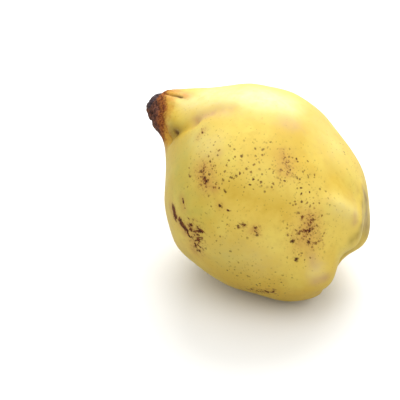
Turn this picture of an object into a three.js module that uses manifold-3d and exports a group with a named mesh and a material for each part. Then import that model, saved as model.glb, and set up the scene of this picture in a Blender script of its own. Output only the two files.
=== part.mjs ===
// Quince: one ripe fruit lying on its side on the small flat spot it rests on.
// Millimetres, +Z up. The stalk end points to -X and is raised, the blossom end points to +X.
// The shape is worked out in the fruit's own frame first, with X along the core from the stalk
// end and Z towards the fruit's upper side, and the whole fruit is then tilted about Y.
import * as THREE from "three";
import { mergeVertices } from "three/addons/utils/BufferGeometryUtils.js";
import Module from "manifold-3d";

// How the fruit lies.
const TILT = THREE.MathUtils.degToRad(25);
const FLAT_DEPTH = 1.5;
const GAP = 0.3;

// The flesh along the core: [distance from the stalk tip, radius, how far its middle leans].
// The last points turn in over the rim and go down into the basin at the blossom end.
const FLESH = [
  [2.2, 0, 3.4],
  [2.3, 5.1, 3.4],
  [3.5, 7.3, 4.1],
  [8, 10.2, 5],
  [15, 14.1, 7],
  [22.5, 21, 7.2],
  [33, 32.1, 4.4],
  [46, 39.3, 2.6],
  [60, 40.4, 2],
  [74, 37.7, 1.3],
  [87.5, 32.6, 1.8],
  [98.5, 24.6, 1.4],
  [103.6, 16, 0.6],
  [101.5, 9.6, 0],
  [96, 7.6, 0],
  [91.4, 5.6, 0],
  [91, 0, 0],
];
const LEAN_TOWARDS = THREE.MathUtils.degToRad(45);
const FLESH_RINGS = 44;
const FLESH_SEGMENTS = 56;

// Five blunt ribs run onto the rim of the basin: [angle about the core, width, strength], with
// the angles in degrees. The other rib values count places along the list of flesh points.
const RIBS = [
  [-12, 24, 0.95],
  [-84, 31, 1.35],
  [-138, 30, 0.95],
  [165, 27, 0.4],
  [88, 32, 1.15],
];
const RIB_MEAN = 0.6;
const RIB_SWELL = 0.1;
const RIB_RISE = 3.5;
const RIBS_START = 9.2;
const RIBS_FULL = 12;
const RIBS_END = 15;

// Dry stub of the stalk on the tip of the neck. Its middle leans a little less than the neck.
const STUB_RADIUS = 4.4;
const STUB_HEIGHT = 2.3;
const STUB_LEAN = 3;

// Dried calyx in the basin: five sepals around a tuft of stamens and styles.
const BASIN_FLOOR = 91;
const SEPAL_COUNT = 5;
const SEPAL_PATH = [
  [0.7, 3.3],
  [3.2, 3.7],
  [5.8, 4.9],
  [8, 6.9],
];
const SEPAL_HALF_WIDTH = 2;
const SEPAL_HALF_THICKNESS = 0.4;
const SEPAL_TURN = THREE.MathUtils.degToRad(12);
const TUFT_PROFILE = [
  [0, 0],
  [1.7, 0],
  [1.5, 2],
  [2.1, 4.6],
  [1.6, 5.6],
  [0, 5.9],
];

const skin = new THREE.MeshStandardMaterial({ color: 0xdcc164, roughness: 0.5, metalness: 0 });
const bark = new THREE.MeshStandardMaterial({ color: 0x4a3332, roughness: 0.85, metalness: 0 });
const driedLeaf = new THREE.MeshStandardMaterial({ color: 0x6b5232, roughness: 0.9, metalness: 0 });

const manifold = await Module();
manifold.setup();

const smooth = (from, to, value) => THREE.MathUtils.smoothstep(value, from, to);

// Closed surface from point(t, angle): t runs from 0 to 1 between two poles, where every angle
// gives the same point, and angle goes once around.
function closedSurface(point, rings, segments) {
  const positions = [];
  const triangles = [];
  positions.push(...point(0, 0).toArray());
  for (let ring = 1; ring < rings; ring += 1) {
    for (let segment = 0; segment < segments; segment += 1) {
      const angle = (2 * Math.PI * segment) / segments;
      positions.push(...point(ring / rings, angle).toArray());
    }
  }
  positions.push(...point(1, 0).toArray());
  const lastPole = positions.length / 3 - 1;
  const vertex = (ring, segment) => 1 + (ring - 1) * segments + (segment % segments);
  for (let segment = 0; segment < segments; segment += 1) {
    triangles.push(0, vertex(1, segment), vertex(1, segment + 1));
    for (let ring = 1; ring < rings - 1; ring += 1) {
      const a = vertex(ring, segment);
      const b = vertex(ring + 1, segment);
      const c = vertex(ring + 1, segment + 1);
      const d = vertex(ring, segment + 1);
      triangles.push(a, b, c, a, c, d);
    }
    triangles.push(vertex(rings - 1, segment), lastPole, vertex(rings - 1, segment + 1));
  }
  const geometry = new THREE.BufferGeometry();
  geometry.setAttribute("position", new THREE.Float32BufferAttribute(positions, 3));
  geometry.setIndex(triangles);
  return geometry;
}

function toSolid(geometry) {
  const bare = geometry.clone();
  bare.deleteAttribute("normal");
  bare.deleteAttribute("uv");
  const merged = mergeVertices(bare);
  return new manifold.Manifold(
    new manifold.Mesh({
      numProp: 3,
      vertProperties: new Float32Array(merged.attributes.position.array),
      triVerts: new Uint32Array(merged.index.array),
    }),
  );
}

function toGeometry(solid) {
  const mesh = solid.getMesh();
  const geometry = new THREE.BufferGeometry();
  geometry.setAttribute("position", new THREE.BufferAttribute(mesh.vertProperties, 3));
  geometry.setIndex(new THREE.BufferAttribute(mesh.triVerts, 1));
  geometry.computeVertexNormals();
  return geometry;
}

// Sum of the five ribs at an angle about the core, less their mean.
function ribHeight(angle) {
  let height = -RIB_MEAN;
  for (const [middle, width, strength] of RIBS) {
    const away = angle - THREE.MathUtils.degToRad(middle);
    const turned = Math.atan2(Math.sin(away), Math.cos(away));
    height += strength * Math.exp(-((turned / THREE.MathUtils.degToRad(width)) ** 2));
  }
  return height;
}

// The flesh's outside: a smooth profile turned about a core whose middle leans to one side,
// with ribs that swell and rise towards the rim of the basin.
const fleshCurve = new THREE.CatmullRomCurve3(
  FLESH.map(([along, radius, lean]) => new THREE.Vector3(along, radius, lean)),
  false,
  "catmullrom",
);

function fleshPoint(t, angle) {
  const station = fleshCurve.getPoint(t);
  const place = t * (FLESH.length - 1);
  const rim = smooth(RIBS_START, RIBS_FULL, place) * (1 - smooth(RIBS_FULL, RIBS_END, place));
  const rib = rim * ribHeight(angle);
  const radius = station.y * (1 + RIB_SWELL * rib);
  return new THREE.Vector3(
    station.x + RIB_RISE * rib,
    radius * Math.sin(angle) + station.z * Math.sin(LEAN_TOWARDS),
    radius * Math.cos(angle) + station.z * Math.cos(LEAN_TOWARDS),
  );
}

// The fruit is laid down first, so that a level block can cut its flat spot.
function makeFruit() {
  const round = closedSurface(fleshPoint, FLESH_RINGS, FLESH_SEGMENTS).rotateY(TILT);
  round.computeBoundingBox();
  const size = round.boundingBox.getSize(new THREE.Vector3());
  const middle = round.boundingBox.getCenter(new THREE.Vector3());
  const block = new THREE.BoxGeometry(2 * size.x, 2 * size.y, size.z);
  block.translate(middle.x, middle.y, round.boundingBox.min.z + FLAT_DEPTH - size.z / 2);
  const fruit = new THREE.Mesh(toGeometry(toSolid(round).subtract(toSolid(block))), skin);
  fruit.name = "fruit";
  return fruit;
}

// A low dome on a short foot, its base just clear of the flat tip of the neck.
function makeStub() {
  const outline = [
    [0, 0],
    [STUB_RADIUS, 0],
    [0.94 * STUB_RADIUS, 0.55 * STUB_HEIGHT],
    [0.62 * STUB_RADIUS, 0.9 * STUB_HEIGHT],
    [0, STUB_HEIGHT],
  ].map(([radius, height]) => new THREE.Vector2(radius, height));
  const stub = new THREE.Mesh(new THREE.LatheGeometry(outline, 20), bark);
  stub.name = "stem_stub";
  stub.rotation.z = Math.PI / 2;
  const side = STUB_LEAN * Math.sin(LEAN_TOWARDS);
  const top = STUB_LEAN * Math.cos(LEAN_TOWARDS);
  stub.position.set(FLESH[0][0] - GAP, side, top);
  return stub;
}

// One sepal: a thin strip that stands on the basin floor and curls outwards, widest below its
// middle and pointed at its end. Its own frame has X along the core and Z away from it.
const sepalCurve = new THREE.CatmullRomCurve3(
  SEPAL_PATH.map(([rise, out]) => new THREE.Vector3(BASIN_FLOOR + rise, 0, out)),
  false,
  "catmullrom",
);

function sepalPoint(t, angle) {
  const middle = sepalCurve.getPoint(t);
  const along = sepalCurve.getTangent(t);
  const outward = new THREE.Vector3(-along.z, 0, along.x);
  const taper = Math.sqrt(1 - (2 * t - 1) ** 4);
  const halfWidth = SEPAL_HALF_WIDTH * taper * (1 - 0.5 * t);
  const halfThickness = SEPAL_HALF_THICKNESS * taper;
  return middle
    .addScaledVector(outward, halfThickness * Math.cos(angle))
    .setY(halfWidth * Math.sin(angle));
}

function makeSepals() {
  const shape = closedSurface(sepalPoint, 10, 12);
  return Array.from({ length: SEPAL_COUNT }, (_, index) => {
    const sepal = new THREE.Mesh(shape, driedLeaf);
    sepal.name = `sepal_${index + 1}`;
    sepal.rotation.x = SEPAL_TURN + (2 * Math.PI * index) / SEPAL_COUNT;
    return sepal;
  });
}

function makeTuft() {
  const outline = TUFT_PROFILE.map(([radius, height]) => new THREE.Vector2(radius, height));
  const tuft = new THREE.Mesh(new THREE.LatheGeometry(outline, 16), driedLeaf);
  tuft.name = "stamen_tuft";
  tuft.rotation.z = -Math.PI / 2;
  tuft.position.x = BASIN_FLOOR + GAP;
  return tuft;
}

// The small pieces share the fruit's tilt. The origin is then put under the middle of the whole
// fruit's box, on the surface it lies on.
const smallPieces = new THREE.Group();
smallPieces.rotation.y = TILT;
smallPieces.add(makeStub(), ...makeSepals(), makeTuft());

const quince = new THREE.Group();
quince.add(makeFruit(), smallPieces);
const box = new THREE.Box3().setFromObject(quince, true);
const centre = box.getCenter(new THREE.Vector3());
quince.position.set(-centre.x, -centre.y, -box.min.z);

export default quince;
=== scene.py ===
"""A ripe quince lying on its side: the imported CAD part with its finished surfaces.

Lengths in the sections below are in millimetres, and become metres where a mesh is made.
The fruit's own frame has X along the core from the stalk end to the blossom end, and angles
about the core start at the upper side and grow towards +Y.
"""

import math

import bpy
import numpy as np
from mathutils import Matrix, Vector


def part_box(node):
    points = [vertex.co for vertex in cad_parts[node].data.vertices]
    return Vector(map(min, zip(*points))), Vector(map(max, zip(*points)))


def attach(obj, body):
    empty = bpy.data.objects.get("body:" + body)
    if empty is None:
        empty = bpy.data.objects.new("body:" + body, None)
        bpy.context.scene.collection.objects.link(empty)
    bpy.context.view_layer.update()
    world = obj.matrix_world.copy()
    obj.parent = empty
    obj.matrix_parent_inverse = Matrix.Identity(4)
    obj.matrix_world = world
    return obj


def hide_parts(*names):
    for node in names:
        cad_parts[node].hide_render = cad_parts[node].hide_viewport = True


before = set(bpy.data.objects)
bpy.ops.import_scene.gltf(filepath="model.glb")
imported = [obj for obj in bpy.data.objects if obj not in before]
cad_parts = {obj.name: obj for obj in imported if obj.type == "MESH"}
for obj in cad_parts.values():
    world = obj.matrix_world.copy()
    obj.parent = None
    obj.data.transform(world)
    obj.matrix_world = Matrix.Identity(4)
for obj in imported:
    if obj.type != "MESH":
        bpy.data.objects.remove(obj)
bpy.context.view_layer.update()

# ---------------------------------------------------------------------------------------------
# The fruit
# A quince is one solid piece of firm flesh under a thin waxy skin. It grew on a very short
# stalk, so its neck ends in fleshy folds round a dark corky scar, and five blunt ribs close
# round the dried flower at the other end. It lies on the small flat spot under its belly.
# ---------------------------------------------------------------------------------------------

mm = 0.001
TILT = math.radians(25)
LEAN_TOWARDS = math.radians(45)

# Distance from the stalk tip, radius, and how far the middle leans, as in the CAD part.
FLESH = np.array([
    (2.2, 0, 3.4),
    (2.3, 5.1, 3.4),
    (3.5, 7.3, 4.1),
    (8, 10.2, 5),
    (15, 14.1, 7),
    (22.5, 21, 7.2),
    (33, 32.1, 4.4),
    (46, 39.3, 2.6),
    (60, 40.4, 2),
    (74, 37.7, 1.3),
    (87.5, 32.6, 1.8),
    (98.5, 24.6, 1.4),
    (103.6, 16, 0.6),
    (101.5, 9.6, 0),
    (96, 7.6, 0),
    (91.4, 5.6, 0),
    (91, 0, 0),
])
PLACES = len(FLESH) - 1
RIM = 12

# Ribs: angle about the core, width in degrees, strength. They start, peak and end at these
# places along the list of flesh points.
RIBS = [
    (-12, 24, 0.95),
    (-84, 31, 1.35),
    (-138, 30, 0.95),
    (165, 27, 0.4),
    (88, 32, 1.15),
]
RIB_MEAN = 0.6
RIB_SWELL = 0.1
RIB_RISE = 3.5
RIBS_START, RIBS_FULL, RIBS_END = 9.2, 12, 15

FLESH_RINGS = 300
FLESH_SEGMENTS = 320

# Folds and hollows drawn on the skin: height, half width, and points as distance from the
# stalk tip along the core and angle about it in degrees. First the neck's near side, then its
# far side, then the belly and the blossom end.
FOLDS = [
    (-0.5, 0.5, [(4, -14), (6.5, -17), (9, -17), (11, -19)]),
    (-0.2, 0.4, [(11, -19), (12, -20.5), (13, -22)]),
    (0.4, 1.5, [(4, 2), (7, -5), (10, -9), (13, -14)]),
    (0.3, 1.6, [(5.5, -26), (8.5, -31), (12, -36)]),
    (-0.7, 1.0, [(5, -58), (8.2, -68), (11.5, -83), (15.4, -91), (19, -95)]),
    (0.9, 3.0, [(8, -92), (11, -100), (15, -105)]),
    (-1.1, 0.8, [(5, -86), (5.8, -112), (5.6, -140), (5, -165)]),
    (0.9, 3.4, [(14, -64), (17, -67)]),
    (-1.3, 2.4, [(18.8, -93), (19.4, -77), (22.6, -59), (24.3, -47)]),
    (-1.0, 3.6, [(24.3, -47), (25.6, -36), (28, -28), (32.7, -20)]),
    (-1.3, 1.3, [(19.2, -77.5)]),
    (-1.2, 1.0, [(3.2, 56), (7, 52), (12, 58), (17, 60)]),
    (-1.2, 0.9, [(3.4, 92), (8, 84), (14, 88)]),
    (-1.5, 1.1, [(3.4, 150), (9, 158), (15, 172), (20, 176)]),
    (-1.0, 0.8, [(4, -150), (9, -156), (13, -160)]),
    (0.9, 2.6, [(8, 74), (12, 74)]),
    (1.2, 3.2, [(7, 122), (13, 130)]),
    (1.1, 3.2, [(8, 188), (14, 194)]),
    (-1.0, 3.0, [(20, 120), (24, 150), (22, 190)]),
    (-0.6, 5.0, [(60, -58), (69, -52), (78, -46)]),
    (-1.1, 4.6, [(82, -4), (88, -2), (94, 4)]),
    (1.0, 3.2, [(88, -22), (93, -17), (96, -14)]),
    (-0.3, 2.4, [(97, -20), (100, -24)]),
    (1.1, 5.0, [(101, -40), (102, -62)]),
    (0.5, 1.6, [(92, 20), (96, 12), (100, -4)]),
]

# Slow swells over the whole skin, each size made of a few waves. Along the list of flesh points
# they fade in behind the neck's flat tip and out over the rim.
SWELL = 0.28
SWELL_SIZES = (34, 26, 19, 14)
SWELL_WAVES = 3
SWELLS_FADE_IN = (0.5, 3)
SWELLS_FADE_OUT = (RIM - 0.5, RIM + 1)

FLAT_ROUNDING = 0.25
# Painted shade inside the blossom end's basin: where it starts and is full, as places.
BASIN_SHADE = (RIM + 0.2, RIM + 2.4)

# How far the corky russet reaches from the stalk tip down the neck, by angle about the core.
RUSSET_EDGE = [
    (-180, 12),
    (-150, 13),
    (-124, 17),
    (-104, 17.5),
    (-92, 14.8),
    (-83, 13),
    (-73, 11.5),
    (-60, 10.6),
    (-49, 9.2),
    (-38, 7),
    (-18, 5.4),
    (10, 5),
    (50, 7),
    (88, 12),
    (120, 8),
    (155, 14),
    (180, 12),
]
RUSSET_REACH = 6

# The cork of the russet: how deep in it starts and is full, how ragged that edge is, and the
# size, depth and sharpness of its cracks. They fade in behind the neck's flat tip.
CORK_EDGE = (-0.5, 2)
CORK_EDGE_RAGGED = 2.5
CORK_SIZE = 1.5
CORK_DEPTH = 0.3
CORK_SHARPNESS = 4
CORK_FADES_IN = (0.3, 1.2)


def smoothstep(low, high, value):
    """3s^2 - 2s^3, where s is how far value has come from low to high, kept from 0 to 1."""
    share = np.clip((value - low) / (high - low), 0, 1)
    return share * share * (3 - 2 * share)


def smooth_path(points, t):
    """Uniform Catmull-Rom curve through the points, at t from 0 to 1: on each span a cubic whose
    end slopes are half the step between the points on either side."""
    points = np.asarray(points, float)
    spans = len(points) - 1
    ends = 2 * points[:1] - points[1:2], 2 * points[-1:] - points[-2:-1]
    padded = np.concatenate([ends[0], points, ends[1]])
    place = np.asarray(t, float) * spans
    span = np.clip(np.floor(place).astype(int), 0, spans - 1)
    share = (place - span)[..., None]
    before, start, end, after = (padded[span + step] for step in range(4))
    out, back = (end - before) / 2, (after - start) / 2
    cubic = (2 * start - 2 * end + out + back) * share**3
    return cubic + (3 * end - 3 * start - 2 * out - back) * share**2 + out * share + start


def flesh_point(place, angle):
    """A point on the smooth flesh, in the fruit's own frame: the profile at this place is turned
    by the angle about a core that leans to one side, and near the rim each rib, a bell curve in
    angle, adds to the radius and lifts the rim."""
    along, radius, lean = np.moveaxis(smooth_path(FLESH, place / PLACES), -1, 0)
    height = -RIB_MEAN
    for middle, width, strength in RIBS:
        away = (angle - math.radians(middle) + np.pi) % (2 * np.pi) - np.pi
        height = height + strength * np.exp(-((away / math.radians(width)) ** 2))
    rim = smoothstep(RIBS_START, RIBS_FULL, place) * (1 - smoothstep(RIBS_FULL, RIBS_END, place))
    radius = radius * (1 + RIB_SWELL * rim * height)
    return np.stack([
        along + RIB_RISE * rim * height,
        radius * np.sin(angle) + lean * math.sin(LEAN_TOWARDS),
        radius * np.cos(angle) + lean * math.cos(LEAN_TOWARDS),
    ], axis=-1)


def tilted(points):
    """The fruit's own frame turned about Y, so that the blossom end drops by the tilt."""
    x, y, z = np.moveaxis(points, -1, 0)
    cos, sin = math.cos(TILT), math.sin(TILT)
    return np.stack([cos * x + sin * z, y, cos * z - sin * x], axis=-1)


rows = np.linspace(0, PLACES, FLESH_RINGS + 1)
turns = np.linspace(0, 2 * np.pi, FLESH_SEGMENTS, endpoint=False)
place, angle = np.meshgrid(rows, turns, indexing="ij")
flesh = tilted(flesh_point(place, angle))

# The CAD fruit's box says where the tilted fruit lies. Its lowest side is the flat spot, so the
# height comes from its top.
low, high = (np.array(corner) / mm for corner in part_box("fruit"))
lowest, highest = flesh.min((0, 1)), flesh.max((0, 1))
LAID = (low + high) / 2 - (lowest + highest) / 2
LAID[2] = high[2] - highest[2]
flesh = flesh + LAID

known_places = np.linspace(0, RIM, 400)
known_along = smooth_path(FLESH, known_places / PLACES)[:, 0]


def on_skin(points):
    """Points given as distance along the core and angle about it, taken to the laid fruit's
    skin."""
    along, degrees = np.moveaxis(np.asarray(points, float), -1, 0)
    spot = np.interp(along, known_along, known_places)
    return tilted(flesh_point(spot, np.radians(degrees))) + LAID


def distance_to(points, spots):
    """Shortest distance from each skin point to a line drawn on the skin through the points."""
    steps = np.linspace(0, 1, 8 * len(points)) if len(points) > 1 else np.zeros(1)
    line = on_skin(smooth_path(points, steps) if len(points) > 1 else points)
    nearest = np.full(spots.shape[:-1], np.inf)
    for dot in line:
        nearest = np.minimum(nearest, np.linalg.norm(spots - dot, axis=-1))
    return nearest


def swells(points, size, random, count=12):
    """Uneven swells of about this size, from -1 to 1: the sum of sine waves that run in random
    directions, over the root of half their number."""
    direction = random.normal(size=(count, 3))
    direction /= np.linalg.norm(direction, axis=-1, keepdims=True)
    start = random.uniform(0, 2 * np.pi, count)
    wave = np.sin(points @ direction.T * (2 * np.pi / size) + start)
    return wave.sum(-1) / math.sqrt(2 * count)


def outward(grid):
    """Unit normals of a grid that closes on itself in its second direction, by the cross product
    of the steps to the neighbours."""
    along_row = np.gradient(grid, axis=0)
    around = np.roll(grid, -1, axis=1) - np.roll(grid, 1, axis=1)
    normal = np.cross(along_row, around)
    length = np.linalg.norm(normal, axis=-1, keepdims=True)
    return normal / np.maximum(length, 1e-9)


def closed_mesh(name, grids):
    """Mesh of one or more closed surfaces of equal grids. A grid's first and last rows are single
    points and its rows close on themselves: a fan of triangles at each pole and four-sided faces
    between."""
    grids = grids.reshape((-1,) + grids.shape[-3:])
    count, rows, segments = grids.shape[:3]
    inner = grids[:, 1:-1].reshape(count, -1, 3)
    vertices = np.concatenate([grids[:, :1, 0], inner, grids[:, -1:, 0]], axis=1)
    last = vertices.shape[1] - 1
    step = np.arange(segments)
    beside = (step + 1) % segments
    ring = 1 + segments * np.arange(rows - 3)[:, None]
    corners = ring + step, ring + segments + step, ring + segments + beside, ring + beside
    shapes = [
        np.stack(corners, axis=-1).reshape(-1, 4),
        np.stack([0 * step, 1 + step, 1 + beside], axis=-1),
        np.stack([last - segments + step, 0 * step + last, last - segments + beside], axis=-1),
    ]
    faces = []
    for shape in shapes:
        numbered = shape + (last + 1) * np.arange(count)[:, None, None]
        faces += numbered.reshape(-1, shape.shape[1]).tolist()
    mesh = bpy.data.meshes.new(name)
    mesh.from_pydata((vertices.reshape(-1, 3) * mm).tolist(), [], faces)
    mesh.shade_smooth()
    piece = bpy.data.objects.new(name, mesh)
    bpy.context.scene.collection.objects.link(piece)
    return piece


def carry(piece, name, values):
    """Stores one value, or one vector, for each vertex of a closed_mesh made of one grid, from
    the values on its grid."""
    listed = np.concatenate([values[:1, 0], values[1:-1].reshape((-1,) + values.shape[2:]),
                             values[-1:, 0]]).astype(np.float32)
    kind, field = ("FLOAT_VECTOR", "vector") if values.ndim == 3 else ("FLOAT", "value")
    attribute = piece.data.attributes.new(name, kind, "POINT")
    attribute.data.foreach_set(field, listed.ravel())


# Slow swells all over, the folds as bell curves of the distance to their lines, and the cork of
# the neck, cracked along the creases between its swells.
random = np.random.default_rng(11)
height = sum(swells(flesh, size, random, SWELL_WAVES) for size in SWELL_SIZES)
height *= SWELL / len(SWELL_SIZES) ** 0.5
height *= smoothstep(*SWELLS_FADE_IN, place) * (1 - smoothstep(*SWELLS_FADE_OUT, place))
for rise, width, points in FOLDS:
    height += rise * np.exp(-((distance_to(points, flesh) / width) ** 2))
edge_angle, edge_along = np.array(RUSSET_EDGE, float).T
reach = np.interp(np.degrees(angle), edge_angle, edge_along, period=360)
along = smooth_path(FLESH, place / PLACES)[..., 0]
russet_depth = np.clip(reach - along, -RUSSET_REACH, RUSSET_REACH)
russet_depth[place >= RIM] = -RUSSET_REACH
cork = smoothstep(*CORK_EDGE, russet_depth + swells(flesh, CORK_EDGE_RAGGED, random))
crack = np.clip(1 - np.abs(swells(flesh, CORK_SIZE, random)), 0, 1) ** CORK_SHARPNESS
height -= CORK_DEPTH * cork * crack * smoothstep(*CORK_FADES_IN, place)
skin_points = flesh + outward(flesh) * height[..., None]

# Each pole stays one point.
skin_points[0] = flesh[0]
skin_points[-1] = flesh[-1]

# The flat spot: heights near the ground level off smoothly, as sqrt(z^2 + r^2) does.
z = skin_points[..., 2]
skin_points[..., 2] = (z + np.sqrt(z * z + FLAT_ROUNDING**2)) / 2

fruit = closed_mesh("quince_fruit", skin_points)
carry(fruit, "russet", russet_depth / RUSSET_REACH)
# The basin's painted shade.
carry(fruit, "basin_painted_shade", smoothstep(*BASIN_SHADE, place))

# Stains and painted light, each a list of (strength, half width, points on the skin). The pale
# layer is a painted highlight, and the amber and olive layers are painted shade. They are soft
# here, and the skin's material makes them uneven. The last says where the freckles are dense.
STAINS_AND_PAINTED_LIGHT = {
    # Painted highlight: pale cream where light falls, on the upper side and on rises facing it.
    "painted_highlight": [
        (1.0, 10.0, [(21, -8), (34, 0), (48, 8)]),
        (0.35, 10.0, [(60, 14), (74, 12)]),
        (0.8, 6.0, [(15, -26), (24, -18)]),
        (0.4, 7.0, [(31, -54), (38, -48)]),
        (0.45, 4.5, [(90, -20), (94, -15)]),
        (0.3, 10.0, [(70, -92), (78, -86)]),
        (0.5, 4.0, [(98, -70), (99, -75)]),
    ],
    "peach": [
        (1.0, 2.2, [(4.5, 4), (7.5, 0), (10, -6), (13, -13)]),
        (0.7, 1.6, [(5, -26), (7, -28), (9, -27)]),
        (0.35, 2.5, [(12, 30), (16, 24)]),
    ],
    "bruise": [
        (1.0, 3.0, [(24, -43), (25.6, -36), (28.5, -29)]),
        (0.6, 4.5, [(29, -27), (33, -21)]),
        (0.6, 4.0, [(55.5, -6), (58, -3)]),
        (0.45, 1.8, [(43, -47)]),
        (0.7, 1.8, [(96.5, -11), (98.4, -14.6)]),
        (0.7, 1.4, [(93, 19), (97, 26)]),
        (0.6, 2.6, [(95, -63), (97, -67)]),
        (0.8, 2.6, [(99.6, -80), (101.5, -76)]),
        (0.5, 4.0, [(48, 120), (55, 126)]),
        (0.4, 3.0, [(74, 60)]),
    ],
    "blush": [
        (0.7, 5.0, [(41, -61), (46, -64)]),
        (0.8, 2.4, [(48, -64), (50, -63)]),
        (0.6, 4.0, [(63, -24), (67, -28)]),
        (0.7, 2.0, [(68.5, -30)]),
        (0.8, 5.5, [(86, -42), (90, -54)]),
        (0.6, 2.6, [(72, -67)]),
        (0.7, 3.6, [(51, -94), (54, -100), (57, -106)]),
        (0.7, 2.6, [(38, -102), (44, -99), (50, -100)]),
        (0.6, 2.2, [(41, -85), (44, -88)]),
        (0.5, 2.4, [(56, -68.5)]),
        (0.5, 2.0, [(31, -45), (31, -51)]),
        (0.5, 6.0, [(62, 58), (68, 66)]),
        (0.5, 5.0, [(70, 150)]),
    ],
    "green": [
        (0.8, 10.0, [(30, -74), (38, -82), (48, -84)]),
        (0.5, 3.5, [(16, -66), (20, -62)]),
        (0.4, 10.0, [(70, -95)]),
        (0.5, 10.0, [(40, 110), (60, 130)]),
        (0.6, 4.0, [(98, 24), (102, 14), (103, 2)]),
    ],
    "amber_painted_shade": [
        # Painted shade: darker gold in the hollows of the neck and belly, above the blossom end's
        # bump and under the belly.
        (0.9, 2.6, [(14, -95), (18.8, -93), (19.4, -79), (22, -60)]),
        (1.0, 3.4, [(9, -52), (14, -56), (17, -66), (18.5, -74)]),
        (0.9, 6.0, [(58, -58), (69, -52), (78, -46)]),
        (1.0, 4.5, [(84, -8), (91, -3)]),
        (0.6, 9.0, [(78, -112), (94, -118)]),
    ],
    "olive_painted_shade": [
        # Painted shade: dark olive on the inner wall of the blossom end's rim and round the neck's
        # pit.
        (0.9, 5.0, [(97.5, 28), (101.4, 33), (103, 48), (103, 64)]),
        (0.8, 3.0, [(17, -88), (18.5, -80), (20, -76)]),
        (0.7, 2.2, [(97.5, 10), (100.5, 2), (102, -12), (102, -24)]),
    ],
    "brown": [
        (1.0, 0.6, [(4, -14), (6.5, -17), (9, -17), (11.5, -19.5)]),
        (1.0, 1.3, [(18.6, -78), (19.4, -77)]),
        (0.4, 3.2, [(18.6, -80), (19.6, -77)]),
        (0.35, 1.2, [(94, 20), (97, 26)]),
    ],
    "freckled": [
        (0.9, 9.0, [(42, -62), (53, -48), (62, -36), (70, -27), (78, -31), (84, -40), (90, -50)]),
        (0.7, 6.0, [(92, -64)]),
        (0.6, 7.0, [(66, -71), (59, -86), (54, -94)]),
        (0.4, 12.0, [(75, -90)]),
        (0.7, 3.5, [(31, -47)]),
        (0.7, 7.0, [(80, -99), (86, -104), (90, -94)]),
        (0.8, 5.0, [(83, -120), (90, -112)]),
        (0.55, 7.0, [(74, -102), (82, -108)]),
        (0.5, 7.0, [(31, -46), (40, -43)]),
        (0.55, 8.0, [(46, -40), (56, -24)]),
        (0.35, 14.0, [(50, -70)]),
        (0.8, 12.0, [(58, 56), (68, 66)]),
        (0.7, 10.0, [(68, 146), (74, 154)]),
        (0.6, 12.0, [(45, -150)]),
        (0.5, 10.0, [(50, 104)]),
        (0.5, 9.0, [(80, 18)]),
    ],
}
for soft_mask, marks in STAINS_AND_PAINTED_LIGHT.items():
    amount = np.zeros(place.shape)
    for strength, width, points in marks:
        spread = distance_to(points, flesh) / width
        amount = np.maximum(amount, strength * np.exp(-(spread**2)))
    carry(fruit, soft_mask, amount)

# Scabs, each (cover, thinning, points on the skin). The cover falls evenly with the distance
# from the scab's line, by one over the thinning distance, and the skin's material breaks it up.
SCABS = [
    (1.25, 1.7, [(39, -97.5), (42.5, -99.5)]),
    (0.8, 1.5, [(43.5, -101.5)]),
    (1.25, 1.6, [(45, -97), (48.5, -97), (50.5, -98)]),
    (0.8, 1.5, [(50, -91), (51.5, -92)]),
    (0.85, 1.4, [(53.5, -89), (56, -89)]),
    (0.8, 1.7, [(54.5, -93.5), (52.5, -99)]),
    (0.8, 1.6, [(55.5, -101), (57.5, -104)]),
    (0.56, 8, [(51, -91), (54, -94), (57, -102)]),
    (0.95, 0.9, [(41.5, -84.5), (44.5, -86.5)]),
    (0.8, 0.8, [(36, -68.5), (38.5, -71)]),
    (0.7, 0.7, [(58, -68.5), (61, -66.5)]),
    (0.75, 0.8, [(30, -44.5), (31.5, -46)]),
    (0.75, 0.8, [(30.5, -50.5), (31.5, -51.5)]),
    (0.75, 1.5, [(48, -64.5), (49.5, -63)]),
    (0.46, 9, [(41.5, -61), (46, -64.5)]),
    (0.38, 9, [(64, -24), (69, -29)]),
    (0.48, 10, [(86, -42), (88.5, -47), (86, -54)]),
    (0.45, 8, [(91, -54), (93, -52)]),
    (0.45, 5, [(72, -65), (74, -68)]),
    (0.42, 5, [(66.5, -71), (68, -68)]),
    (0.4, 6, [(90, -67)]),
    (0.55, 6, [(83.5, -121), (86.5, -115), (90, -111)]),
    (0.95, 1.3, [(62, 120), (66, 124)]),
    (0.85, 1.2, [(50, 168), (57, 172)]),
    (0.4, 7, [(70, 100), (74, 104)]),
]
scabbed = np.full(place.shape, -1.0)
for cover, thinning, points in SCABS:
    scabbed = np.maximum(scabbed, cover - distance_to(points, flesh) / thinning)
carry(fruit, "scab", scabbed)

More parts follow.
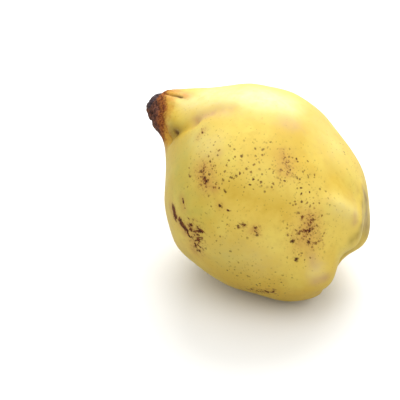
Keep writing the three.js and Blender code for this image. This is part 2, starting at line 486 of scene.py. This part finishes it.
# Large specks, each (distance along the core, angle, radius).
LARGE_SPECKS = [
    (61.5, -39.5, 0.5), (66, -30.5, 0.6), (65, -21.5, 0.45), (72.5, -27, 0.6), (75.5, -21.5, 0.45),
    (72.5, -21.5, 0.45), (75, -31.5, 0.5), (81.5, -21.5, 0.5), (79.5, -36, 0.65), (83, -35, 0.5),
    (81, -43, 0.75), (87, -40.5, 0.7), (89.5, -41.5, 0.6), (88.5, -47, 0.85), (86, -53, 0.7),
    (86, -59.5, 0.95), (91, -54, 0.8), (93.5, -52, 0.5), (90.5, -70, 1.05), (91, -64, 0.5),
    (72, -65, 0.7), (74, -68.5, 0.65), (38.5, -71, 0.6), (41.5, -62, 0.65), (45, -59.5, 0.6),
    (44.5, -63, 0.8), (45, -67.5, 0.6), (43.5, -55, 0.4), (49.5, -59.5, 0.5), (51, -56, 0.6),
    (49.5, -52, 0.55), (53, -52, 0.6), (54, -49.5, 0.7), (51, -39.5, 0.65), (51.5, -41.5, 0.5),
    (55.5, -43, 0.5), (53, -31.5, 0.5), (55.5, -29, 0.6), (66.5, -46, 0.5), (56, -68.5, 0.95),
    (66.5, -71, 0.7), (68, -67.5, 0.55), (60.5, -98, 0.6), (58, 64, 0.8), (66, 58, 0.6),
    (72, 146, 0.7), (44, -158, 0.8),
]
SPECK_MARGIN = 1.2
SPECK_SETS = 3

# How dark a speck is: the palest one's share, and how much more for each millimetre of radius.
PALEST_SPECK = 0.15
SPECK_DARKENING = 1.1

# Every vertex carries its way from the nearest speck's middle, counted in the speck's radius,
# and how dark the speck is, which is nothing past a margin. Specks that would meet within their
# margins go to different sets, so that no face lies between two of them.
speck_sets = [([], np.full(place.shape, np.inf), np.zeros(flesh.shape), np.zeros(place.shape))
              for _ in range(SPECK_SETS)]
for *spot, radius in LARGE_SPECKS:
    middle = on_skin(spot)
    for members, nearest, way, depth in speck_sets:
        if all(np.linalg.norm(middle - other) > radius + size + 2 * SPECK_MARGIN
               for other, size in members):
            members.append((middle, radius))
            step = flesh - middle
            distance = np.linalg.norm(step, axis=-1)
            nearer = distance < nearest
            nearest[nearer] = distance[nearer]
            way[nearer] = step[nearer] / radius
            depth[distance < radius + SPECK_MARGIN] = min(PALEST_SPECK + SPECK_DARKENING * radius, 1)
            break
for number, (_, _, way, depth) in enumerate(speck_sets):
    carry(fruit, f"speck_way_{number}", way)
    carry(fruit, f"speck_depth_{number}", depth)


def colour(hex_value):
    """An sRGB hex colour as linear red, green, blue and alpha: c / 12.92 in the darks, and
    ((c + 0.055) / 1.055)^2.4 above."""
    parts = [int(hex_value[start:start + 2], 16) / 255 for start in (0, 2, 4)]
    return [c / 12.92 if c <= 0.04045 else ((c + 0.055) / 1.055) ** 2.4 for c in parts] + [1]


def add(material, kind, inputs, output=None, **settings):
    """Adds a node to a material and gives back one of its outputs, the first in use unless it is
    named. The settings are the node's own, and an input takes a value or another node's output."""
    made = material.node_tree.nodes.new(kind)
    for name, value in settings.items():
        setattr(made, name, value)
    for name, value in inputs.items():
        in_use = [socket for socket in made.inputs if socket.enabled]
        socket = made.inputs[name] if isinstance(name, int) else next(
            socket for socket in in_use if socket.name == name)
        if isinstance(value, bpy.types.NodeSocket):
            material.node_tree.links.new(value, socket)
        else:
            socket.default_value = value
    if output:
        return made.outputs[output]
    return next((socket for socket in made.outputs if socket.enabled), None)


def new_material(name):
    """A material with no nodes yet."""
    material = bpy.data.materials.new(name)
    material.use_nodes = True
    material.node_tree.nodes.clear()
    return material


def patch(material, soft_mask, ragged, low, high, most=1.0):
    """How much of a patch covers the surface: its soft stain plus ragged noise, eased from none
    at low to the most at high."""
    edge = add(material, "ShaderNodeMath", {0: soft_mask, 1: ragged}, operation="ADD")
    return add(material, "ShaderNodeMapRange", {
        "Value": edge,
        "From Min": low,
        "From Max": high,
        "To Max": most,
    }, interpolation_type="SMOOTHSTEP")


def blotch_scale(size):
    """The scale at which a noise pattern's blotches are about this many millimetres across: half,
    over the size in metres."""
    return 0.5 / (size * mm)


# Quince skin, ripe: smooth and waxy over pale flesh, so light goes a little way in and the
# gloss is broad and soft. It is lemon yellow with a green cast where it ripened last, finely
# mottled, and dotted with brown specks and a few corky scabs. Its colour also holds a painted
# highlight and painted shade.
skin = new_material("ripe_quince_skin")
where = add(skin, "ShaderNodeTexCoord", {}, "Object")

# Noise patterns, from the largest blotches to the smallest, with sizes in millimetres.
noise = {}
for name, size, detail, rough in (
    ("broad", 16, 3, 0.5),
    ("clouds", 5, 2, 0.5),
    ("mottle", 1.7, 3, 0.6),
    ("ragged", 0.9, 4, 0.65),
    ("grain", 0.55, 2, 0.6),
):
    noise[name] = add(skin, "ShaderNodeTexNoise", {
        "Vector": where,
        "Scale": blotch_scale(size),
        "Detail": detail,
        "Roughness": rough,
    })

tone = colour("E6CA5E")
for name, low, high, most, tint in (
    ("broad", 0.35, 0.65, 1.0, "DCB948"),
    ("clouds", 0.45, 0.7, 0.45, "E9D465"),
    ("mottle", 0.45, 0.75, 0.3, "C9A648"),
):
    amount = add(skin, "ShaderNodeMapRange", {
        "Value": noise[name],
        "From Min": low,
        "From Max": high,
        "To Max": most,
    }, interpolation_type="SMOOTHSTEP")
    tone = add(skin, "ShaderNodeMix", {"Factor": amount, "A": tone, "B": colour(tint)},
               data_type="RGBA")
for name, most, tint in (
    # Painted highlight, pale cream.
    ("painted_highlight", 0.85, "F3E8A8"),
    ("green", 0.8, "C0B852"),
    # Painted shade, darker gold.
    ("amber_painted_shade", 0.8, "D2AC34"),
    ("peach", 0.95, "D8904A"),
    ("blush", 0.8, "C48A46"),
    ("bruise", 0.8, "C79C70"),
    # Painted shade, dark olive.
    ("olive_painted_shade", 0.95, "957628"),
    ("brown", 1.0, "5A3208"),
    # Painted shade inside the basin, dull olive.
    ("basin_painted_shade", 0.9, "857A40"),
):
    soft_mask = add(skin, "ShaderNodeAttribute", {}, "Fac", attribute_name=name)
    uneven = add(skin, "ShaderNodeMapRange", {
        "Value": noise["mottle"],
        "From Min": 0.3,
        "From Max": 0.7,
        "To Min": 0.6 * most,
        "To Max": most,
    })
    amount = add(skin, "ShaderNodeMath", {0: soft_mask, 1: uneven}, operation="MULTIPLY")
    tone = add(skin, "ShaderNodeMix", {"Factor": amount, "A": tone, "B": colour(tint)},
               data_type="RGBA")

# Lenticels, the skin's pores: fine dots a little over a millimetre apart everywhere, and brown
# corky freckles, larger and further apart, where the skin is freckled. Each is a slice through a
# cell's middle, with its edge shaken by noise, and chance says how strongly it shows.
EDGE_SHAKE = 1.4
EDGE_SHAKE_SIZE = 0.6
shaken = add(skin, "ShaderNodeVectorMath", {
    0: add(skin, "ShaderNodeTexNoise", {
        "Vector": where,
        "Scale": blotch_scale(EDGE_SHAKE_SIZE),
        "Detail": 2,
    }, "Color"),
    1: (EDGE_SHAKE * mm,) * 3,
    2: where,
}, operation="MULTIPLY_ADD")
freckled = add(skin, "ShaderNodeAttribute", {}, "Fac", attribute_name="freckled")

# Spacing; least chance and how much more where freckled; the dot's edge and middle, as shares of
# the spacing; how strongly it shows at most; and its colour.
dotted = 0.0
for spacing, least, more, edge, middle, most, tint in (
    (1.1, 0.25, 0.7, 0.36, 0.12, 0.55, "8F6C24"),
    (1.8, 0.05, 0.95, 0.31, 0.14, 0.8, "7A5014"),
    (2.7, -0.05, 1.0, 0.24, 0.12, 1.0, "5A3408"),
):
    cells = add(skin, "ShaderNodeTexVoronoi", {"Vector": shaken, "Scale": 1 / (spacing * mm)})
    chance = add(skin, "ShaderNodeSeparateColor", {"Color": cells.node.outputs["Color"]}, "Red")
    density = add(skin, "ShaderNodeMath", {0: freckled, 1: more, 2: least},
                  operation="MULTIPLY_ADD")
    spare = add(skin, "ShaderNodeMath", {0: density, 1: chance}, operation="SUBTRACT")
    strength = add(skin, "ShaderNodeMapRange", {
        "Value": spare,
        "From Max": 0.4,
        "To Max": most,
    })
    dot = add(skin, "ShaderNodeMapRange", {
        "Value": cells,
        "From Min": edge,
        "From Max": middle,
    }, interpolation_type="SMOOTHSTEP")
    shown = add(skin, "ShaderNodeMath", {0: strength, 1: dot}, operation="MULTIPLY")
    dotted = add(skin, "ShaderNodeMath", {0: shown, 1: dotted}, operation="MAXIMUM")
    tone = add(skin, "ShaderNodeMix", {"Factor": shown, "A": tone, "B": colour(tint)},
               data_type="RGBA")

# Specks: the length of the way from a speck's middle, counted in its radius, is made uneven by
# two noises. With both noises at their mean, a speck is solid inside its heart and gone past its
# rim.
SPECK_HEART, SPECK_RIM = 0.35, 1.2
SPECK_RAGGED, SPECK_GRAINY = 3.0, 2.5
NOISE_MEAN = 0.5
noise_adds = NOISE_MEAN * (SPECK_RAGGED + SPECK_GRAINY)
specked = 0.0
for number in range(SPECK_SETS):
    way = add(skin, "ShaderNodeAttribute", {}, "Vector", attribute_name=f"speck_way_{number}")
    depth = add(skin, "ShaderNodeAttribute", {}, "Fac", attribute_name=f"speck_depth_{number}")
    length = add(skin, "ShaderNodeVectorMath", {0: way}, "Value", operation="LENGTH")
    uneven = add(skin, "ShaderNodeMath", {0: noise["ragged"], 1: SPECK_RAGGED, 2: length},
                 operation="MULTIPLY_ADD")
    uneven = add(skin, "ShaderNodeMath", {0: noise["grain"], 1: SPECK_GRAINY, 2: uneven},
                 operation="MULTIPLY_ADD")
    inside = add(skin, "ShaderNodeMapRange", {
        "Value": uneven,
        "From Min": SPECK_RIM + noise_adds,
        "From Max": SPECK_HEART + noise_adds,
    }, interpolation_type="SMOOTHSTEP")
    drawn = add(skin, "ShaderNodeMath", {0: inside, 1: depth}, operation="MULTIPLY")
    specked = add(skin, "ShaderNodeMath", {0: drawn, 1: specked}, operation="MAXIMUM")
speck_tone = add(skin, "ShaderNodeMix", {
    "Factor": specked,
    "A": colour("8A6220"),
    "B": colour("50300A"),
}, data_type="RGBA")
tone = add(skin, "ShaderNodeMix", {"Factor": specked, "A": tone, "B": speck_tone},
           data_type="RGBA")

# Scabs and russet are corky: dull, rough and granular, with broken edges. Under the russet the
# skin turns orange first, then brown, and next to the stalk it is nearly black. Each layer is
# where its soft stain starts and is full, how strongly it shows, and its dark and light grains.
scab_stain = add(skin, "ShaderNodeAttribute", {}, "Fac", attribute_name="scab")
russet_stain = add(skin, "ShaderNodeAttribute", {}, "Fac", attribute_name="russet")
grain_share = add(skin, "ShaderNodeMapRange", {
    "Value": noise["grain"],
    "From Min": 0.38,
    "From Max": 0.62,
})
broken = add(skin, "ShaderNodeMapRange", {
    "Value": noise["ragged"],
    "From Min": 0.33,
    "From Max": 0.67,
})
cover = {}
for name, soft_mask, edge, low, high, most, dark, light in (
    ("scab halo", scab_stain, broken, 0.55, 1.1, 0.5, "A06C30", "BC8C46"),
    ("scab", scab_stain, broken, 0.95, 1.15, 1.0, "40200A", "7E4618"),
    ("orange", russet_stain, noise["ragged"], -0.35, 0.5, 0.85, "BE8224", "CF9A34"),
    ("russet", russet_stain, noise["ragged"], 0.35, 0.75, 1.0, "6C3414", "A86424"),
    ("tip", russet_stain, noise["ragged"], 0.95, 1.4, 0.9, "34201C", "74483A"),
):
    cover[name] = patch(skin, soft_mask, edge, low, high, most)
    cork_tone = add(skin, "ShaderNodeMix", {
        "Factor": grain_share,
        "A": colour(dark),
        "B": colour(light),
    }, data_type="RGBA")
    tone = add(skin, "ShaderNodeMix", {"Factor": cover[name], "A": tone, "B": cork_tone},
               data_type="RGBA")

corky = add(skin, "ShaderNodeMath", {0: cover["scab"], 1: cover["russet"]}, operation="MAXIMUM")
roughness = add(skin, "ShaderNodeMapRange", {
    "Value": corky,
    "To Min": 0.42,
    "To Max": 0.8,
})
corky_grain = add(skin, "ShaderNodeMath", {0: corky, 1: noise["grain"]}, operation="MULTIPLY")
pored = add(skin, "ShaderNodeMath", {0: dotted, 1: -0.5, 2: noise["mottle"]},
            operation="MULTIPLY_ADD")
relief = add(skin, "ShaderNodeMath", {0: corky_grain, 1: 3.0, 2: pored},
             operation="MULTIPLY_ADD")
bumped = add(skin, "ShaderNodeBump", {"Height": relief, "Strength": 0.5, "Distance": 0.12 * mm})
surface = add(skin, "ShaderNodeBsdfPrincipled", {
    "Base Color": tone,
    "Roughness": roughness,
    "IOR": 1.45,
    "Subsurface Weight": 0.12,
    "Subsurface Radius": (1.0, 0.7, 0.25),
    "Subsurface Scale": 2.5 * mm,
    "Specular IOR Level": 0.22,
    "Coat Weight": 0.12,
    "Coat Roughness": 0.45,
    "Normal": bumped,
})
add(skin, "ShaderNodeOutputMaterial", {"Surface": surface})
fruit.data.materials.append(skin)
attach(fruit, "root")
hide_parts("fruit")

# ---------------------------------------------------------------------------------------------
# The stalk's stub
# Where the quince was twisted off its twig, a low woody knob stays on the tip of the neck. It
# has dried and split into blunt ridges round a hollow, and its foot is grown into the flesh.
# ---------------------------------------------------------------------------------------------

STUB_LEAN = 3
STUB_RINGS, STUB_SEGMENTS = 60, 120
# Radius and height above the neck's tip: up the side, over the top and into the hollow.
STUB_PROFILE = [
    (0, -1.6),
    (4.8, -1.6),
    (5.4, -0.5),
    (4.9, 0.8),
    (3.9, 1.8),
    (2.6, 2.4),
    (1.3, 1.8),
    (0, 1.2),
]

# The cracks run down the stub. A crack takes off a share of the radius, its depth, and more of
# the height. Its width and wander are in radians, and it may stand off its even place by a share
# of the step between two cracks.
STUB_CRACKS = 7
CRACK_DEPTH = 0.09
CRACK_HEIGHT_LOSS = 1.5
CRACK_WIDTH = 0.11
CRACK_WANDER = 0.35
CRACK_UNEVEN = 0.25

# Lumps: rise and size.
STUB_LUMPS = [(0.2, 3.6), (0.06, 1.1)]


def stub_point(t, angle):
    """The profile turned about the stalk, with its radius and height cut down by cracks: narrow
    bell curves at uneven angles, deepest half way along the profile."""
    radius, height = np.moveaxis(smooth_path(STUB_PROFILE, t), -1, 0)
    turn = random.uniform(-CRACK_UNEVEN, CRACK_UNEVEN, STUB_CRACKS) + np.arange(STUB_CRACKS)
    crack = np.zeros_like(angle)
    for middle in turn * 2 * np.pi / STUB_CRACKS:
        wander = CRACK_WANDER * np.sin(4 * t + middle)
        away = (angle + wander - middle + np.pi) % (2 * np.pi) - np.pi
        crack = np.maximum(crack, np.exp(-((away / CRACK_WIDTH) ** 2)))
    crack *= CRACK_DEPTH * np.sin(np.pi * t)
    radius = radius * (1 - crack)
    tip = FLESH[0, 0]
    return np.stack([
        tip - height * (1 - CRACK_HEIGHT_LOSS * crack * (height > 0)),
        radius * np.sin(angle) + STUB_LEAN * math.sin(LEAN_TOWARDS),
        radius * np.cos(angle) + STUB_LEAN * math.cos(LEAN_TOWARDS),
    ], axis=-1)


t, angle = np.meshgrid(
    np.linspace(1, 0, STUB_RINGS + 1),
    np.linspace(0, 2 * np.pi, STUB_SEGMENTS, endpoint=False),
    indexing="ij",
)
stub_grid = tilted(stub_point(t, angle)) + LAID
lumps = sum(rise * swells(stub_grid, size, random) for rise, size in STUB_LUMPS)
lumps *= np.sin(np.pi * np.clip(t * 1.02, 0, 1))
stub_grid = stub_grid + outward(stub_grid) * lumps[..., None]
stub = closed_mesh("stalk_stub", stub_grid)

# The stub is darkest on its upper side, where the bark is left, and corky below.
rise = stub_grid[..., 2] - stub_grid[..., 2].min()
carry(stub, "bare", 1 - smoothstep(0, 1, rise / rise.max()))

# Dry stalk bark: dark purple brown, with a painted grey sheen on its ridges and a rough broken
# surface, and a red brown cork where it is bare.
bark = new_material("dry_stalk_bark")
where = add(bark, "ShaderNodeTexCoord", {}, "Object")
fibres = add(bark, "ShaderNodeTexNoise", {
    "Vector": where,
    "Scale": blotch_scale(0.5),
    "Detail": 4,
    "Roughness": 0.7,
})
patches = add(bark, "ShaderNodeTexNoise", {
    "Vector": where,
    "Scale": blotch_scale(1.8),
    "Detail": 2,
})
tone = add(bark, "ShaderNodeMix", {
    "Factor": patches,
    "A": colour("241A24"),
    "B": colour("4A2C2A"),
}, data_type="RGBA")
bare = add(bark, "ShaderNodeAttribute", {}, "Fac", attribute_name="bare")
cork = patch(bark, bare, patches, 0.75, 1.35)
cork_tone = add(bark, "ShaderNodeMix", {
    "Factor": fibres,
    "A": colour("3E1C12"),
    "B": colour("96562C"),
}, data_type="RGBA")
tone = add(bark, "ShaderNodeMix", {"Factor": cork, "A": tone, "B": cork_tone}, data_type="RGBA")
# Painted sheen: purple grey laid on the peaks of the fibre noise.
grey_sheen = add(bark, "ShaderNodeMapRange", {
    "Value": fibres,
    "From Min": 0.5,
    "From Max": 0.75,
    "To Max": 0.4,
}, interpolation_type="SMOOTHSTEP")
tone = add(bark, "ShaderNodeMix", {"Factor": grey_sheen, "A": tone, "B": colour("8D7C80")},
           data_type="RGBA")
bumped = add(bark, "ShaderNodeBump", {"Height": fibres, "Strength": 0.7, "Distance": 0.2 * mm})
surface = add(bark, "ShaderNodeBsdfPrincipled", {
    "Base Color": tone,
    "Roughness": 0.78,
    "IOR": 1.5,
    "Normal": bumped,
})
add(bark, "ShaderNodeOutputMaterial", {"Surface": surface})
stub.data.materials.append(bark)
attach(stub, "root")
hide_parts("stem_stub")

# ---------------------------------------------------------------------------------------------
# The sepals
# Five small leaves of the old flower still stand in the basin. They are dry and brittle, with
# toothed edges and a raised midrib, and each has curled in its own way.
# ---------------------------------------------------------------------------------------------

BASIN_FLOOR = 91
SEPAL_COUNT = 5
SEPAL_TURN = 12
# Rise above the basin's floor and distance from the core.
SEPAL_PATH = np.array([
    (0.2, 3.3),
    (3.2, 3.7),
    (5.8, 4.9),
    (8, 6.7),
])
SEPAL_HALF_WIDTH = 2.1
SEPAL_HALF_THICKNESS = 0.22
SEPAL_NARROWING = 0.55
SEPAL_RINGS, SEPAL_SEGMENTS = 90, 32

# Teeth: how many, and the width between them and at them, as shares. Then the midrib, the cup
# and the crinkles. How far the end may be shifted and twisted is different for each sepal.
SEPAL_TEETH = 9
BETWEEN_TEETH, TOOTH_SWELL = 0.88, 0.2
MIDRIB_RISE, MIDRIB_WIDTH = 0.25, 0.16
CUP_DEPTH = 0.75
CRINKLE_DEPTH, CRINKLES = 0.12, 21
LEAST_SHIFT, MOST_SHIFT = (-1.2, -2.2), (0.3, 0.3)
MOST_TWIST = 0.5


def sepal_point(t, turn, shift, twist):
    """A strip along its bent path, in the fruit's own frame: a flat ellipse widest below its
    middle, whose width swells at each tooth. It is cupped by the square of the way across, more
    towards its end, has a bell curve for a midrib and sine waves for crinkles, and is turned
    about the path by the twist."""
    path = SEPAL_PATH.copy()
    path[2:] += np.outer((0.4, 1.0), shift)
    rise, out = np.moveaxis(smooth_path(path, t), -1, 0)
    ahead = smooth_path(path, np.clip(t + 0.01, 0, 1)) - smooth_path(path, np.clip(t - 0.01, 0, 1))
    ahead /= np.linalg.norm(ahead, axis=-1, keepdims=True)
    taper = np.sqrt(np.clip(1 - (2 * t - 1) ** 4, 0, 1))
    tooth = 1 - np.abs(2 * (SEPAL_TEETH * t % 1) - 1)
    width = SEPAL_HALF_WIDTH * taper * (1 - SEPAL_NARROWING * t)
    width *= BETWEEN_TEETH + TOOTH_SWELL * tooth
    across = np.sin(turn)
    side = width * across
    midrib = MIDRIB_RISE * np.exp(-((across / MIDRIB_WIDTH) ** 2))
    lift = SEPAL_HALF_THICKNESS * taper * np.cos(turn) * (1 + midrib)
    lift += taper * (CUP_DEPTH * (across**2 - 1 / 3) + midrib) * (0.4 + 0.6 * t)
    lift += CRINKLE_DEPTH * taper * np.sin(CRINKLES * t + 3 * across) * across
    cos, sin = np.cos(twist * t), np.sin(twist * t)
    side, lift = cos * side - sin * lift, sin * side + cos * lift
    return BASIN_FLOOR + rise - lift * ahead[..., 1], side, out + lift * ahead[..., 0]


# Dried sepal: papery leaf gone brown, straw coloured at the teeth, with darker veins.
dried_leaf = new_material("dried_sepal_leaf")
where = add(dried_leaf, "ShaderNodeTexCoord", {}, "Object")
veins = add(dried_leaf, "ShaderNodeTexNoise", {
    "Vector": where,
    "Scale": blotch_scale(0.6),
    "Detail": 3,
    "Roughness": 0.65,
})
blotches = add(dried_leaf, "ShaderNodeTexNoise", {"Vector": where, "Scale": blotch_scale(2.2)})
edge = add(dried_leaf, "ShaderNodeAttribute", {}, "Fac", attribute_name="edge")
tone = add(dried_leaf, "ShaderNodeMix", {
    "Factor": blotches,
    "A": colour("4A3424"),
    "B": colour("7A5E36"),
}, data_type="RGBA")
tone = add(dried_leaf, "ShaderNodeMix", {"Factor": edge, "A": tone, "B": colour("A08450")},
           data_type="RGBA")
vein_share = add(dried_leaf, "ShaderNodeMapRange", {
    "Value": veins,
    "From Min": 0.55,
    "From Max": 0.7,
    "To Max": 0.5,
})
tone = add(dried_leaf, "ShaderNodeMix", {"Factor": vein_share, "A": tone, "B": colour("34241A")},
           data_type="RGBA")
bumped = add(dried_leaf, "ShaderNodeBump", {
    "Height": veins,
    "Strength": 0.7,
    "Distance": 0.2 * mm,
})
surface = add(dried_leaf, "ShaderNodeBsdfPrincipled", {
    "Base Color": tone,
    "Roughness": 0.85,
    "IOR": 1.45,
    "Sheen Weight": 0.2,
    "Normal": bumped,
})
add(dried_leaf, "ShaderNodeOutputMaterial", {"Surface": surface})

t, turn = np.meshgrid(
    np.linspace(0, 1, SEPAL_RINGS + 1),
    np.linspace(0, 2 * np.pi, SEPAL_SEGMENTS, endpoint=False),
    indexing="ij",
)
for number in range(1, SEPAL_COUNT + 1):
    shift = random.uniform(LEAST_SHIFT, MOST_SHIFT)
    twist = random.uniform(-MOST_TWIST, MOST_TWIST)
    x, side, out = sepal_point(t, turn, shift, twist)
    stands = math.radians(SEPAL_TURN + 360 * (number - 1) / SEPAL_COUNT)
    grid = np.stack([
        x,
        side * math.cos(stands) - out * math.sin(stands),
        side * math.sin(stands) + out * math.cos(stands),
    ], axis=-1)
    sepal = closed_mesh(f"dried_sepal_{number}", tilted(grid) + LAID)
    carry(sepal, "edge", smoothstep(0.75, 1, np.abs(np.sin(turn))) * 0.7)
    sepal.data.materials.append(dried_leaf)
    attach(sepal, "root")
    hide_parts(f"sepal_{number}")

# ---------------------------------------------------------------------------------------------
# The stamens and styles
# In the middle of the sepals stand the flower's dried threads: five stout styles and a ring of
# thin stamens with a shrunken anther on each, all grown from the floor of the basin.
# ---------------------------------------------------------------------------------------------

STAMENS = 26
STYLES = 5
THREAD_RINGS, THREAD_SEGMENTS = 22, 8
TUFT_HEIGHT = 5.6

# A style's and then a stamen's height as a share of the tuft's, radius, swelling at the end,
# start away from the core and lean. Two numbers are the least and the most.
STYLE_HEIGHT, STAMEN_HEIGHTS = 0.8, (0.6, 1)
STYLE_RADIUS, STAMEN_RADIUS = 0.32, 0.13
STYLE_KNOB, ANTHER = 0.16, 0.26
STYLE_START, STAMEN_STARTS = 0.45, (1.2, 2)
STYLE_LEAN, STAMEN_LEANS = 0.3, (-0.6, 1.1)
MOST_BEND = 0.7
KNOB_PLACE, KNOB_LENGTH = 0.92, 0.06
ROOT_DEPTH = 0.2
RING_TILT = 0.4

# The styles stand evenly round the core, and the stamens a golden turn apart.
count = STYLES + STAMENS
order = np.arange(count)
style = order < STYLES
tall = TUFT_HEIGHT * np.where(style, STYLE_HEIGHT, random.uniform(*STAMEN_HEIGHTS, count))
thick = np.where(style, STYLE_RADIUS, STAMEN_RADIUS)
knob = np.where(style, STYLE_KNOB, ANTHER)
start = np.where(style, STYLE_START, random.uniform(*STAMEN_STARTS, count))
lean = np.where(style, STYLE_LEAN, random.uniform(*STAMEN_LEANS, count))
golden_turn = math.pi * (3 - math.sqrt(5))
facing = np.where(style, order * 2 * np.pi / STYLES, order * golden_turn)
bend = random.uniform(-MOST_BEND, MOST_BEND, count)

# A thread is a tube round a path that rises with t, leans out with its square and swings about
# the core. Its radius swells near the end as a bell curve and closes there.
t, turn = np.meshgrid(
    np.linspace(0, 1, THREAD_RINGS + 1),
    np.linspace(0, 2 * np.pi, THREAD_SEGMENTS, endpoint=False),
    indexing="ij",
)
tall, thick, knob, start, lean, facing, bend = (
    value[:, None, None] for value in (tall, thick, knob, start, lean, facing, bend)
)
reach = start + lean * t**2
swing = facing + bend * t**2 / 2
closed = np.sqrt(np.clip(1 - (2 * t - 1) ** 12, 0, 1))
radius = closed * (thick + knob * np.exp(-(((t - KNOB_PLACE) / KNOB_LENGTH) ** 2)))
threads = tilted(np.stack([
    BASIN_FLOOR - ROOT_DEPTH + tall * t - RING_TILT * lean * radius * np.cos(turn),
    reach * np.sin(swing) + radius * np.sin(turn),
    reach * np.cos(swing) + radius * np.cos(turn),
], axis=-1)) + LAID
tuft = closed_mesh("dried_stamens", threads)

# Dried flower threads: brittle brown plant fibre, straw coloured in blotches where the light
# has bleached it.
fibre = new_material("dried_flower_fibre")
where = add(fibre, "ShaderNodeTexCoord", {}, "Object")
blotches = add(fibre, "ShaderNodeTexNoise", {
    "Vector": where,
    "Scale": blotch_scale(0.9),
    "Detail": 3,
})
bleached = add(fibre, "ShaderNodeMapRange", {
    "Value": blotches,
    "From Min": 0.35,
    "From Max": 0.65,
})
tone = add(fibre, "ShaderNodeMix", {
    "Factor": bleached,
    "A": colour("3B2A1C"),
    "B": colour("8A6B40"),
}, data_type="RGBA")
bumped = add(fibre, "ShaderNodeBump", {
    "Height": blotches,
    "Strength": 0.6,
    "Distance": 0.1 * mm,
})
surface = add(fibre, "ShaderNodeBsdfPrincipled", {
    "Base Color": tone,
    "Roughness": 0.85,
    "IOR": 1.5,
    "Normal": bumped,
})
add(fibre, "ShaderNodeOutputMaterial", {"Surface": surface})
tuft.data.materials.append(fibre)
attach(tuft, "root")
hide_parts("stamen_tuft")

# ---------------------------------------------------------------------------------------------
# The studio
# A pale paper floor in an evenly lit room, with two wide soft lights overhead: a weak one in
# front of the fruit and a stronger one behind it. The camera looks down on the fruit's side, a
# little from the blossom end.
# ---------------------------------------------------------------------------------------------

FLOOR_SIZE = 6
WALL_LIGHT = 0.52
CEILING_LIGHT = 1.05
SOFTBOX_DISTANCE = 1
# Name, power, width and the way it lies from the fruit.
SOFTBOXES = [
    ("key_softbox", 2.5, 0.9, (0.4, -0.3, 0.84)),
    ("back_softbox", 8.0, 0.9, (-0.2, 0.65, 0.74)),
]
bpy.ops.mesh.primitive_plane_add(size=FLOOR_SIZE, location=(0, 0, 0))
floor = bpy.context.object
floor.name = "studio_floor"

# Matt paper, white as seen, which throws less light back up than it shows, so that the fruit's
# belly stays in shade.
paper = new_material("matt_white_paper")
seen = add(paper, "ShaderNodeLightPath", {}, "Is Camera Ray")
tone = add(paper, "ShaderNodeMix", {
    "Factor": seen,
    "A": colour("C2C0B8"),
    "B": colour("F7F7F5"),
}, data_type="RGBA")
surface = add(paper, "ShaderNodeBsdfPrincipled", {
    "Base Color": tone,
    "Roughness": 0.95,
    "Specular IOR Level": 0.1,
})
add(paper, "ShaderNodeOutputMaterial", {"Surface": surface})
floor.data.materials.append(paper)

scene = bpy.context.scene
scene.view_settings.view_transform = "Standard"

# The room is evenly lit around and brighter towards the ceiling.
room = bpy.data.worlds.new("studio_room")
room.use_nodes = True
room.node_tree.nodes.clear()
look = add(room, "ShaderNodeTexCoord", {}, "Generated")
rise = add(room, "ShaderNodeSeparateXYZ", {"Vector": look}, "Z")
strength = add(room, "ShaderNodeMapRange", {
    "Value": rise,
    "From Min": 0.1,
    "From Max": 0.9,
    "To Min": WALL_LIGHT,
    "To Max": CEILING_LIGHT,
}, interpolation_type="SMOOTHSTEP")
background = add(room, "ShaderNodeBackground", {"Color": colour("FFFFFF"), "Strength": strength})
add(room, "ShaderNodeOutputWorld", {"Surface": background})
scene.world = room

for name, energy, size, direction in SOFTBOXES:
    softbox = bpy.data.lights.new(name, "AREA")
    softbox.shape = "DISK"
    softbox.size = size
    softbox.energy = energy
    light = bpy.data.objects.new(name, softbox)
    towards = np.array(direction) / np.linalg.norm(direction)
    light.location = SOFTBOX_DISTANCE * towards
    light.rotation_euler = (math.acos(towards[2]), 0, math.atan2(towards[0], -towards[1]))
    scene.collection.objects.link(light)

# The camera stands this far from the point it aims at, turned about it and raised.
CAMERA_TURN = math.radians(32)
CAMERA_RISE = math.radians(34)
CAMERA_DISTANCE = 600 * mm
CAMERA_LENS = 131.4
AIM = np.array((-16.3, -15.3, 36.8)) * mm
away = np.array((
    math.sin(CAMERA_TURN) * math.cos(CAMERA_RISE),
    -math.cos(CAMERA_TURN) * math.cos(CAMERA_RISE),
    math.sin(CAMERA_RISE),
))
view = bpy.data.objects.new("view", bpy.data.cameras.new("view"))
view.data.lens = CAMERA_LENS
view.location = AIM + CAMERA_DISTANCE * away
view.rotation_euler = (math.pi / 2 - CAMERA_RISE, 0, CAMERA_TURN)
scene.collection.objects.link(view)
scene.camera = view

bpy.context.view_layer.update()
